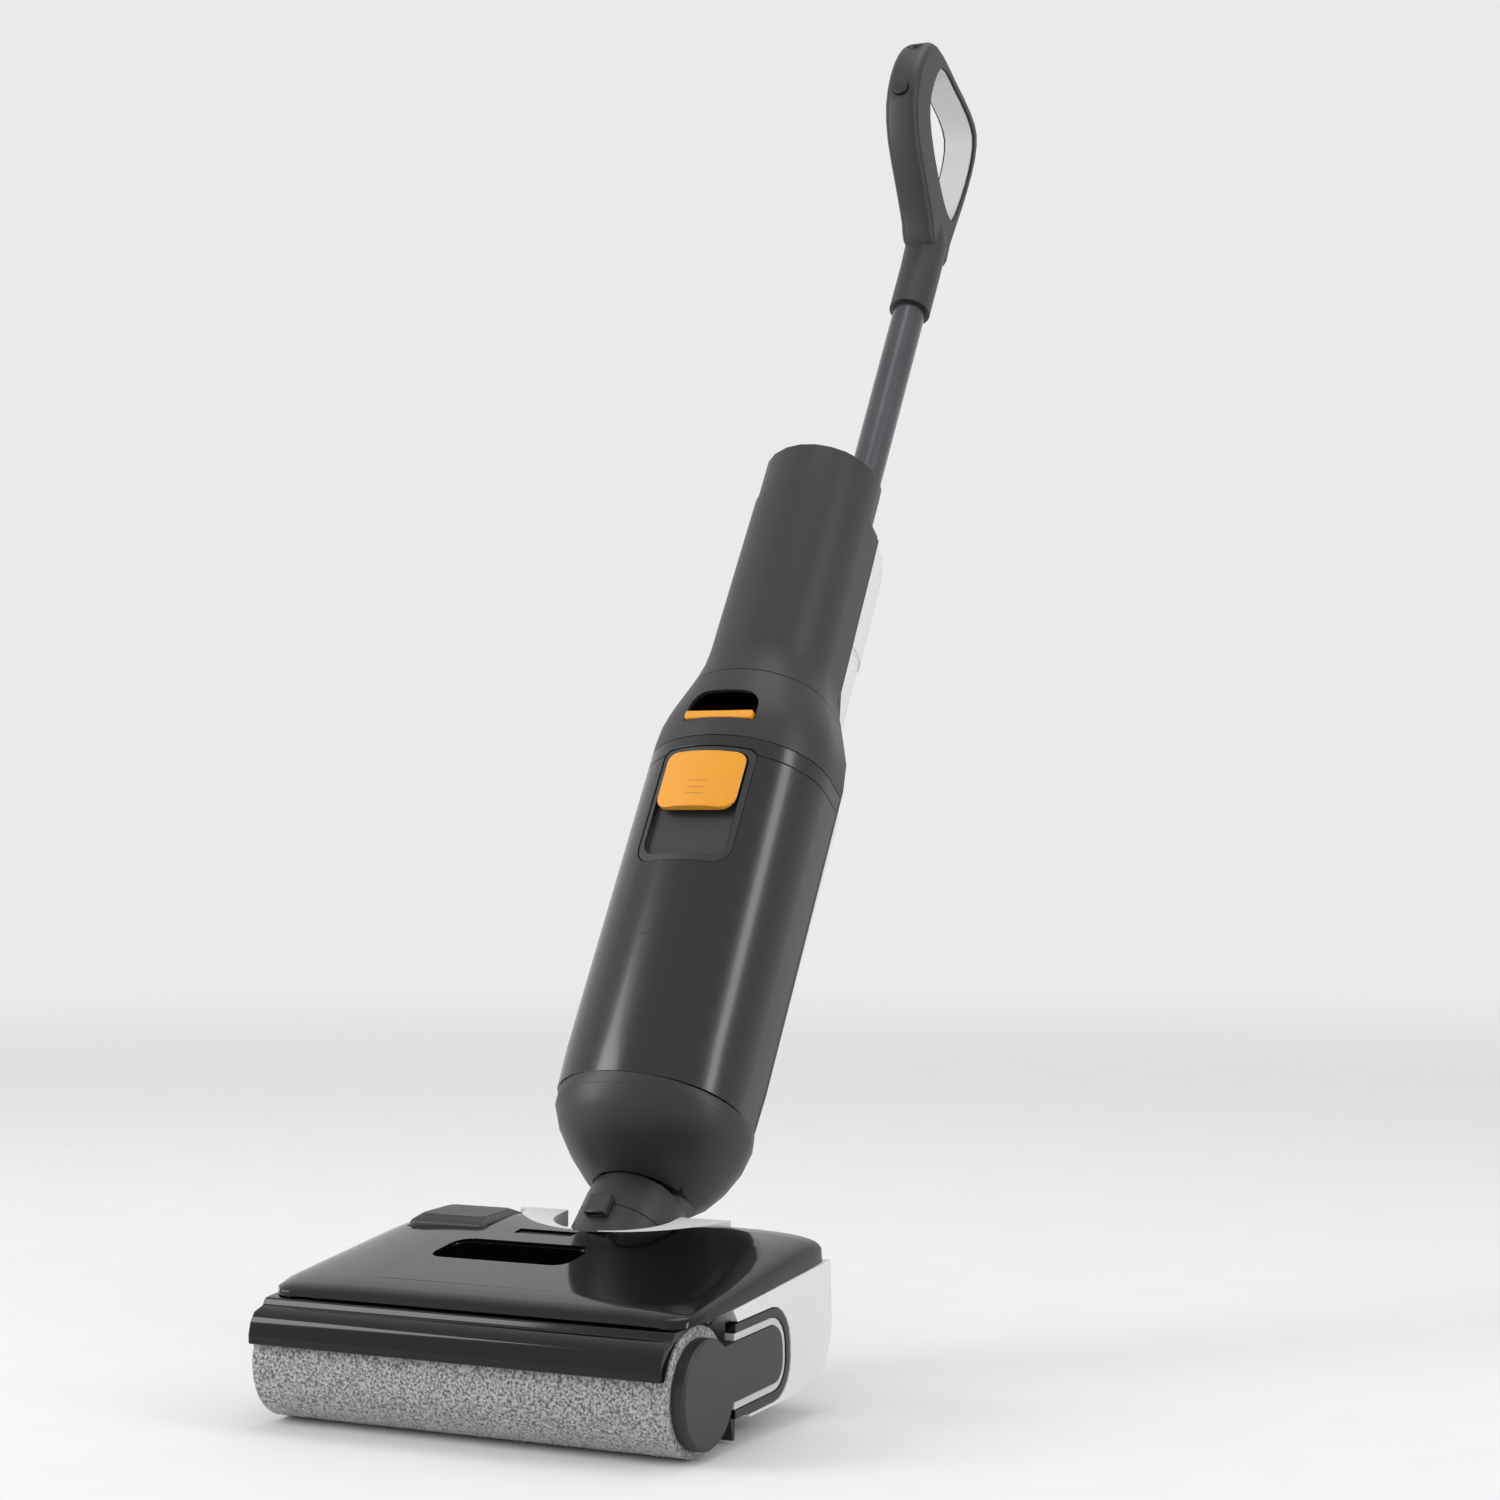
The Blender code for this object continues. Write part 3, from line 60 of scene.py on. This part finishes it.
# The roller's axis is the datum of the head. The upper body stands on a foot behind it.
FOOT_BEHIND_ROLLER = 0.1617
FOOT_HEIGHT = 0.1097
pile_low, pile_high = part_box("roller_fleece")
ROLLER_Y = (pile_low.y + pile_high.y) / 2
ROLLER_Z = (pile_low.z + pile_high.z) / 2
ROLLER_RADIUS = (pile_high.z - pile_low.z) / 2
FOOT = np.array((0.0, ROLLER_Y + FOOT_BEHIND_ROLLER, FOOT_HEIGHT))

# Along the upper body, towards its back, and across it.
UP = np.array(joints["float_rise"]["axis"])
BACK = -np.array(joints["dirty_tank_out"]["axis"])
SIDE = np.array((1.0, 0.0, 0.0))

# ---------------------------------------------------------------- camera, floor and light

CAMERA_AZIMUTH = math.radians(26.29)
CAMERA_RISE = math.radians(1.32)
CAMERA_RIGHT = 0.89108
CAMERA_BEFORE_ROLLER = 1.46191
CAMERA_HEIGHT = 0.35921
CAMERA_LENS_MM = 70.08
CAMERA_SENSOR_MM = 36
CAMERA_REACH = 60

FLOOR_HALF = 9.0
FLOOR_DROP = 0.001
FADE_START = 1.2
FADE_END = 4.5

# Softboxes as (name, place, point aimed at, width, height, watts).
SOFTBOXES = (
    ("left_softbox", (-1.9, -1.6, 1.0), (0, -0.1, 0.45), 0.9, 2.6, 40),
    ("right_softbox", (2.0, -0.2, 0.9), (0, -0.1, 0.4), 0.35, 2.4, 14),
    ("top_softbox", (0.2, 0.2, 2.4), (0, -0.1, 0.3), 1.2, 1.2, 8),
)
SKY = "#f2f2f3"
SKY_STRENGTH = 0.93


def aim(item, direction):
    """Turns a camera or a light so that its own -Z looks along direction."""
    item.rotation_euler = Vector(direction).to_track_quat("-Z", "Y").to_euler()


def make_camera():
    """A long lens in front of the head and to its right, looking slightly up."""
    data = bpy.data.cameras.new("camera")
    data.lens = CAMERA_LENS_MM
    data.sensor_width = CAMERA_SENSOR_MM
    data.clip_end = CAMERA_REACH
    camera = bpy.data.objects.new("camera", data)
    camera.location = (CAMERA_RIGHT, ROLLER_Y - CAMERA_BEFORE_ROLLER, CAMERA_HEIGHT)
    level = math.cos(CAMERA_RISE)
    aim(camera, (-math.sin(CAMERA_AZIMUTH) * level, math.cos(CAMERA_AZIMUTH) * level,
                 math.sin(CAMERA_RISE)))
    scene.collection.objects.link(camera)
    scene.camera = camera


def make_softbox(name, place, target, width, height, watts):
    """A rectangular area light at place, aimed at target."""
    data = bpy.data.lights.new(name, "AREA")
    data.shape = "RECTANGLE"
    data.size = width
    data.size_y = height
    data.energy = watts
    light = bpy.data.objects.new(name, data)
    light.location = place
    aim(light, Vector(target) - Vector(place))
    scene.collection.objects.link(light)


def make_sky():
    """An even pale surround, shown with plain sRGB so that the finishes keep their own colours."""
    world = bpy.data.worlds.new("studio")
    world.use_nodes = True
    backdrop = world.node_tree.nodes["Background"]
    backdrop.inputs["Color"].default_value = linear(SKY)
    backdrop.inputs["Strength"].default_value = SKY_STRENGTH
    scene.world = world
    scene.view_settings.view_transform = "Standard"


def make_floor():
    """A pale paper floor that thins out with distance from the object, so that no edge or horizon shows."""
    look = finish_of("seamless_paper_matte", "#e2e2e3", 0.9, 3 * MM, 0.01 * MM, 0.01)
    tree = look.node_tree
    place = put(tree, "ShaderNodeTexCoord").outputs["Object"]
    reach = put(tree, "ShaderNodeVectorMath", {0: place}, operation="LENGTH")
    fade = put(tree, "ShaderNodeMapRange", {"Value": reach.outputs["Value"], "From Min": FADE_START,
                                            "From Max": FADE_END}, interpolation_type="SMOOTHSTEP")
    clear = put(tree, "ShaderNodeBsdfTransparent")
    blend = put(tree, "ShaderNodeMixShader", {0: fade.outputs["Result"],
                                              1: tree.nodes["Principled BSDF"].outputs["BSDF"],
                                              2: clear.outputs["BSDF"]})
    tree.links.new(blend.outputs["Shader"], tree.nodes["Material Output"].inputs["Surface"])
    corners = [(-FLOOR_HALF, -FLOOR_HALF, 0), (FLOOR_HALF, -FLOOR_HALF, 0),
               (FLOOR_HALF, FLOOR_HALF, 0), (-FLOOR_HALF, FLOOR_HALF, 0)]
    mesh = bpy.data.meshes.new("floor")
    mesh.from_pydata(corners, [], [(0, 1, 2, 3)])
    mesh.materials.append(look)
    floor = bpy.data.objects.new("floor", mesh)
    floor.location.z = -FLOOR_DROP
    scene.collection.objects.link(floor)


# ---------------------------------------------------------------- finishes

# Width of the slow patches in which a moulded colour drifts, and where on the noise the drift ends.
DRIFT_PATCH = 60 * MM
DRIFT_ENDS = (0.3, 0.7)


def linear(code):
    """The linear colour of an sRGB hex code: c / 12.92 below 0.04045, else ((c + 0.055) / 1.055) ^ 2.4."""
    parts = np.array([int(code[k:k + 2], 16) for k in (1, 3, 5)]) / 255
    values = np.where(parts <= 0.04045, parts / 12.92, ((parts + 0.055) / 1.055) ** 2.4)
    return (*values.tolist(), 1.0)


def put(tree, kind, inputs=(), **settings):
    """Adds a node with its settings; an input is a value or another node's output socket."""
    node = tree.nodes.new(kind)
    for key, value in settings.items():
        setattr(node, key, value)
    for key, value in dict(inputs).items():
        if isinstance(value, bpy.types.NodeSocket):
            tree.links.new(value, node.inputs[key])
        else:
            node.inputs[key].default_value = value
    return node


def new_look(name):
    """A node material with its tree, its surface shader and the point on the object."""
    look = bpy.data.materials.new(name)
    look.use_nodes = True
    tree = look.node_tree
    return look, tree, tree.nodes["Principled BSDF"], put(tree, "ShaderNodeTexCoord").outputs["Object"]


def colour_between(tree, share, ends, first, last):
    """The colour from first to last as share goes from one end to the other."""
    ramp = put(tree, "ShaderNodeValToRGB", {"Fac": share})
    for stop, position, colour in zip(ramp.color_ramp.elements, ends, (first, last)):
        stop.position = position
        stop.color = colour
    return ramp.outputs["Color"]


def finish_of(name, code, roughness, grain, relief, drift=0.06, shader=()):
    """A moulded or turned finish: fine noise lifts the surface, slow noise drifts colour and gloss.

    grain is the width of one grain and relief its height. drift is how far the colour and the
    roughness wander from their mean, as a share. shader holds the shader's other plain settings.
    """
    look, tree, principled, place = new_look(name)
    fine = put(tree, "ShaderNodeTexNoise", {"Vector": place, "Scale": 1 / grain, "Detail": 3.0})
    slow = put(tree, "ShaderNodeTexNoise", {"Vector": place, "Scale": 1 / DRIFT_PATCH, "Detail": 2.0})
    base = linear(code)[:3]
    darker = (*(c * (1 - drift) for c in base), 1)
    lighter = (*(min(1, c * (1 + drift)) for c in base), 1)
    colour = colour_between(tree, slow.outputs["Fac"], DRIFT_ENDS, darker, lighter)
    rough = put(tree, "ShaderNodeMapRange", {"Value": fine.outputs["Fac"],
                                             "To Min": roughness * (1 - drift),
                                             "To Max": roughness * (1 + drift)})
    lift = put(tree, "ShaderNodeBump", {"Height": fine.outputs["Fac"], "Distance": relief,
                                        "Strength": 1.0})
    tree.links.new(colour, principled.inputs["Base Color"])
    tree.links.new(rough.outputs["Result"], principled.inputs["Roughness"])
    tree.links.new(lift.outputs["Normal"], principled.inputs["Normal"])
    for key, value in dict(shader).items():
        principled.inputs[key].default_value = value
    return look


def pile_finish(name, light, dark):
    """Microfibre pile of melange yarn: grey strands with lighter and darker specks about a tuft wide."""
    look, tree, principled, place = new_look(name)
    specks = put(tree, "ShaderNodeTexNoise", {"Vector": place, "Scale": 1 / (1.7 * MM), "Detail": 4.0})
    strands = put(tree, "ShaderNodeTexNoise", {"Vector": place, "Scale": 1 / (0.8 * MM), "Detail": 3.0})
    colour = colour_between(tree, specks.outputs["Fac"], (0.36, 0.62), linear(dark), linear(light))
    lift = put(tree, "ShaderNodeBump", {"Height": strands.outputs["Fac"], "Distance": 0.6 * MM,
                                        "Strength": 0.8})
    tree.links.new(colour, principled.inputs["Base Color"])
    tree.links.new(lift.outputs["Normal"], principled.inputs["Normal"])
    principled.inputs["Roughness"].default_value = 0.9
    principled.inputs["Sheen Weight"].default_value = 0.4
    principled.inputs["Sheen Roughness"].default_value = 0.5
    return look


# Each finish starts from what the real surface is. Fine grains are drawn no finer than they can show.
LOOKS = {
    # Charcoal ABS, spark-eroded mould texture: matte with a broad soft highlight.
    "charcoal": finish_of("charcoal_abs_textured", "#222224", 0.42, 0.7 * MM, 0.012 * MM),
    # Black polypropylene inside the casings: dull and dark.
    "inner_black": finish_of("black_polypropylene", "#161617", 0.6, 1.2 * MM, 0.02 * MM),
    # Black key mouldings: satin.
    "key_black": finish_of("black_key_moulding", "#1b1b1d", 0.38, 0.6 * MM, 0.01 * MM),
    # Piano black ABS from a polished mould: near mirror, with the faint waviness of a moulded sheet.
    "gloss_black": finish_of("piano_black_abs", "#050506", 0.08, 14 * MM, 0.02 * MM, 0.1,
                             {"Coat Weight": 0.15, "Coat Roughness": 0.03, "Specular IOR Level": 0.3}),
    # Smoke-tinted clear ABS tank: dark and glossy, and a little light comes through.
    "smoke": finish_of("smoke_tinted_clear_abs", "#08090c", 0.22, 18 * MM, 0.03 * MM, 0.08,
                       {"Transmission Weight": 0.35, "IOR": 1.54, "Coat Weight": 0.1,
                        "Coat Roughness": 0.05}),
    # White ABS with a fine matte texture: soft pale highlights.
    "white": finish_of("white_abs_satin", "#d3d3d3", 0.36, 0.7 * MM, 0.008 * MM, 0.015),
    # Light grey ABS: satin, a shade below the white.
    "light_grey": finish_of("light_grey_abs", "#bdbebf", 0.4, 0.7 * MM, 0.008 * MM, 0.02),
    # Amber ABS for the parts that a hand looks for: satin and saturated.
    "orange": finish_of("amber_abs_satin", "#d9921f", 0.33, 0.6 * MM, 0.008 * MM, 0.03,
                        {"Subsurface Weight": 0.05, "Subsurface Scale": 2 * MM}),
    # Rubber of the tyres and the squeegee: dark, matte and slightly dusty.
    "tyre": finish_of("tyre_rubber", "#232324", 0.75, 0.9 * MM, 0.04 * MM, 0.12),
    "rubber": finish_of("squeegee_rubber", "#2a2a2c", 0.62, 0.9 * MM, 0.03 * MM, 0.1),
    # Turned steel: metallic, with a fine brushed roughness.
    "steel": finish_of("turned_steel", "#a9abae", 0.28, 0.3 * MM, 0.004 * MM, 0.08, {"Metallic": 1.0}),
    # Zinc-plated motor can: metallic and slightly mottled.
    "motor_casing": finish_of("motor_can_zinc_plated", "#8f9296", 0.34, 0.5 * MM, 0.006 * MM, 0.1,
                              {"Metallic": 1.0}),
    # Lacquered aluminium tube: dark satin with the glint of metal flake.
    "tube_metal": finish_of("aluminium_tube_dark_lacquer", "#4a4b4e", 0.3, 0.35 * MM, 0.006 * MM, 0.12,
                            {"Metallic": 0.75, "Coat Weight": 0.3, "Coat Roughness": 0.15}),
    # Green solder mask on a circuit board: satin and uneven.
    "board": finish_of("circuit_board_solder_mask", "#1f4a33", 0.35, 1.5 * MM, 0.02 * MM, 0.2),
    # Filter foam: open cells make it rough and dull.
    "filter": finish_of("filter_foam_open_cell", "#8d8f92", 0.85, 1.1 * MM, 0.15 * MM, 0.2),
    # Pile of the roller: grey melange with no shine but a soft edge of sheen.
    "fleece": pile_finish("microfibre_pile_melange", "#b2b2b4", "#4c4c50"),
}
# Painted shade: the grip lines on the release button are given a deeper amber that stands in for the shade they
# lie in.
AMBER_PAINTED_SHADE = finish_of("amber_painted_groove_shade", "#a8690f", 0.4, 0.6 * MM, 0.008 * MM)

# ---------------------------------------------------------------- pieces

# Casings that get rolled edges, with the width of the roll in millimetres.
ROLL_MM = {
    "head_base": 1.2, "side_trim": 0.6, "left_end_plate": 0.8, "bay_cover": 1.6, "neck_surround": 0.8,
    "roller_cover": 1.0, "roller_end_cover": 1.0, "top_lid": 0.9, "lid_latch": 0.5, "neck_yoke": 0.7,
    "hose_clip": 0.7, "neck_tube": 0.5, "lower_cup": 0.6, "shoulder": 0.5, "motor_housing": 0.6,
    "display_cap": 0.8, "tube_socket": 0.7, "handle_shell": 0.9, "handle_liner": 0.5,
    "dirty_water_tank": 0.4, "tank_lid": 0.4, "recess_plate": 0.5, "tank_button": 1.2,
    "filter_release": 0.5, "clean_water_tank": 0.5, "clean_tank_cap": 0.6, "power_button": 0.5,
    "mode_button": 0.5,
}
ROLL_SEGMENTS = 2
ROLL_FROM_ANGLE = math.radians(38)
FLAT_ANGLE = math.radians(0.5)
WELD_DISTANCE = 0.01 * MM

PILE_SEED = 11
PILE_TUFTS = 15000
PILE_END_GAP = 1 * MM
TUFT_HALF_WIDTH = (0.7, 1.2)
TUFT_LEAN = 0.8 * MM
TUFT_ROOT_DEPTH = 0.9 * MM
TUFT_TIP = (-0.2, 0.7)

# The front of the upper body, as an angle about its own axis.
FRONT = 1.5 * math.pi
LINE_SINK = 0.2 * MM
LINE_PROUD = 0.06 * MM
GRIP_LINE_PROUD = 0.08 * MM
SMALLEST = 1e-12


def piece_from(name, points, faces, slot, body, look=None):
    """Puts arrays of points and faces into a smooth mesh object that rides on a body."""
    mesh = bpy.data.meshes.new(name)
    mesh.from_pydata(np.asarray(points).reshape(-1, 3).tolist(), [], np.asarray(faces).tolist())
    mesh.materials.append(look or LOOKS[slot])
    mesh.polygons.foreach_set("use_smooth", np.ones(len(mesh.polygons), bool))
    mesh.update()
    piece = bpy.data.objects.new(name, mesh)
    scene.collection.objects.link(piece)
    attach(piece, body)
    return piece


def grid_faces(rows, columns, wrap=False):
    """Four-cornered faces of a rows x columns grid; wrap joins the last column to the first."""
    row, column = np.meshgrid(np.arange(rows - 1), np.arange(columns if wrap else columns - 1), indexing="ij")
    after = (column + 1) % columns
    corners = (row * columns + column, row * columns + after,
               (row + 1) * columns + after, (row + 1) * columns + column)
    return np.stack(corners, -1).reshape(-1, 4)


def rolled_casing(node, roll):
    """A casing's own shape with its sharp edges rolled to a small radius, as a mould leaves them."""
    mesh = frame["nodes"][node].data.copy()
    mesh.name = node + "_skin"
    piece = bpy.data.objects.new(node + "_skin", mesh)
    scene.collection.objects.link(piece)
    if "custom_normal" in mesh.attributes:
        mesh.attributes.remove(mesh.attributes["custom_normal"])
    mesh.polygons.foreach_set("use_smooth", np.ones(len(mesh.polygons), bool))
    weld = piece.modifiers.new("weld", "WELD")
    weld.merge_threshold = WELD_DISTANCE
    flat = piece.modifiers.new("flat", "DECIMATE")
    flat.decimate_type = "DISSOLVE"
    flat.angle_limit = FLAT_ANGLE
    edges = piece.modifiers.new("edges", "BEVEL")
    edges.width = roll
    edges.segments = ROLL_SEGMENTS
    edges.limit_method = "ANGLE"
    edges.angle_limit = ROLL_FROM_ANGLE
    even = piece.modifiers.new("even", "WEIGHTED_NORMAL")
    even.keep_sharp = True
    slot = mesh.materials[0].name
    mesh.materials[0] = LOOKS[slot]
    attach(piece, body_of[node])
    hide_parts(node)


def section(node, height, count=240):
    """Middle, angles and radii of a node's outer outline in the plane UP = height above the foot.

    Each triangle that crosses the plane gives one segment between its two crossing edges. A ray
    from the middle at each angle keeps its farthest crossing with the segments.
    """
    mesh = frame["nodes"][node].data
    points = np.empty(len(mesh.vertices) * 3)
    mesh.vertices.foreach_get("co", points)
    corners = np.empty(len(mesh.loops), int)
    mesh.loops.foreach_get("vertex_index", corners)
    offset = points.reshape(-1, 3) - FOOT
    local = np.stack((offset @ SIDE, offset @ BACK, offset @ UP - height), -1)
    start = local[corners].reshape(-1, 3, 3)
    end = np.roll(start, -1, axis=1)
    crosses = (start[..., 2] > 0) != (end[..., 2] > 0)
    cut = crosses.sum(1) == 2
    share = start[..., 2] / np.where(crosses, start[..., 2] - end[..., 2], 1)
    hits = start[..., :2] + share[..., None] * (end[..., :2] - start[..., :2])
    pairs = hits[cut][crosses[cut]].reshape(-1, 2, 2)
    outline = pairs.reshape(-1, 2)
    middle = (outline.max(0) + outline.min(0)) / 2
    first = pairs[:, 0] - middle
    along = pairs[:, 1] - pairs[:, 0]
    angle = np.linspace(0, 2 * math.pi, count, endpoint=False)
    ray = np.stack((np.cos(angle), np.sin(angle)), -1)[:, None]
    slope = along[None, :, 0] * ray[..., 1] - along[None, :, 1] * ray[..., 0]
    slope = np.where(np.abs(slope) < SMALLEST, SMALLEST, slope)
    where = -(first[None, :, 0] * ray[..., 1] - first[None, :, 1] * ray[..., 0]) / slope
    inside = (where >= 0) & (where <= 1)
    reach = ((first[None] + where[..., None] * along[None]) * ray).sum(-1)
    return middle, angle, np.where(inside, reach, 0).max(1)


def parting_line(name, node, height, width, proud=LINE_PROUD, arc=None, slot="inner_black", look=None):
    """A thin line on a casing: the casing's outline at a height, swept by a flat arched profile.

    Across the line the profile runs from below the surface to proud of it and back. arc keeps only
    the angles between two bounds.
    """
    middle, angle, radius = section(node, height)
    if arc is not None:
        keep = (angle > arc[0]) & (angle < arc[1])
        angle = angle[keep]
        radius = radius[keep]
    rise = np.array((-width / 2, -width / 4, width / 4, width / 2))[:, None]
    lift = np.array((-LINE_SINK, proud, proud, -LINE_SINK))[:, None]
    x = middle[0] + (radius + lift) * np.cos(angle)
    y = middle[1] + (radius + lift) * np.sin(angle)
    z = height + rise + 0 * x
    points = FOOT + x[..., None] * SIDE + y[..., None] * BACK + z[..., None] * UP
    piece_from(name, points, grid_faces(len(lift), len(angle), arc is None), slot, body_of[node], look)


def make_pile():
    """Tufts of the roller's pile: four-sided tapered strands on a cylinder, leaning a little at random.

    A tuft's root is a small square at its distance along the roller and its angle round it. Its tip
    is a point further out, moved sideways by the lean.
    """
    draw = np.random.default_rng(PILE_SEED)
    along = draw.uniform(pile_low.x + PILE_END_GAP, pile_high.x - PILE_END_GAP, PILE_TUFTS)
    turn = draw.uniform(0, 2 * math.pi, PILE_TUFTS)
    half = draw.uniform(*TUFT_HALF_WIDTH, PILE_TUFTS) * MM
    lean = draw.normal(0, TUFT_LEAN, (PILE_TUFTS, 2))
    root = ROLLER_RADIUS - TUFT_ROOT_DEPTH
    tip = ROLLER_RADIUS + draw.uniform(*TUFT_TIP, PILE_TUFTS) * MM
    corner = np.array(((-1, -1), (1, -1), (1, 1), (-1, 1)))
    x = along[:, None] + np.concatenate((half[:, None] * corner[:, 0], lean[:, :1]), 1)
    swing = turn[:, None] + np.concatenate((half[:, None] * corner[:, 1], lean[:, 1:]), 1) / root
    reach = np.concatenate((np.full((PILE_TUFTS, len(corner)), root), tip[:, None]), 1)
    points = np.stack((x, ROLLER_Y + reach * np.cos(swing), ROLLER_Z + reach * np.sin(swing)), -1)
    sides = np.array(((0, 4, 1), (1, 4, 2), (2, 4, 3), (3, 4, 0)))
    faces = (np.arange(PILE_TUFTS)[:, None, None] * (len(corner) + 1) + sides).reshape(-1, 3)
    piece_from("roller_pile", points, faces, "fleece", "roller")


# ---------------------------------------------------------------- the whole

make_camera()
make_floor()
make_sky()
for softbox in SOFTBOXES:
    make_softbox(*softbox)

for node, item in frame["nodes"].items():
    if node in ROLL_MM:
        rolled_casing(node, ROLL_MM[node] * MM)
    else:
        item.data.materials[0] = LOOKS[item.data.materials[0].name]

make_pile()
# The grip lines carry the deeper amber of painted shade.
for index, height in enumerate((0.2765, 0.2815, 0.2865)):
    parting_line(f"button_grip_line_{index + 1}", "tank_button", height, 0.9 * MM, GRIP_LINE_PROUD,
                 arc=(FRONT - 1.15, FRONT + 1.15), slot="orange", look=AMBER_PAINTED_SHADE)
parting_line("cup_parting_line", "lower_cup", 0.0640, 0.6 * MM)
parting_line("housing_parting_line", "motor_housing", 0.4080, 0.45 * MM, arc=(FRONT - 0.31, FRONT + 1.0))
parting_line("tank_level_line", "dirty_water_tank", 0.1710, 0.5 * MM, arc=(FRONT - 0.62, FRONT + 0.66))
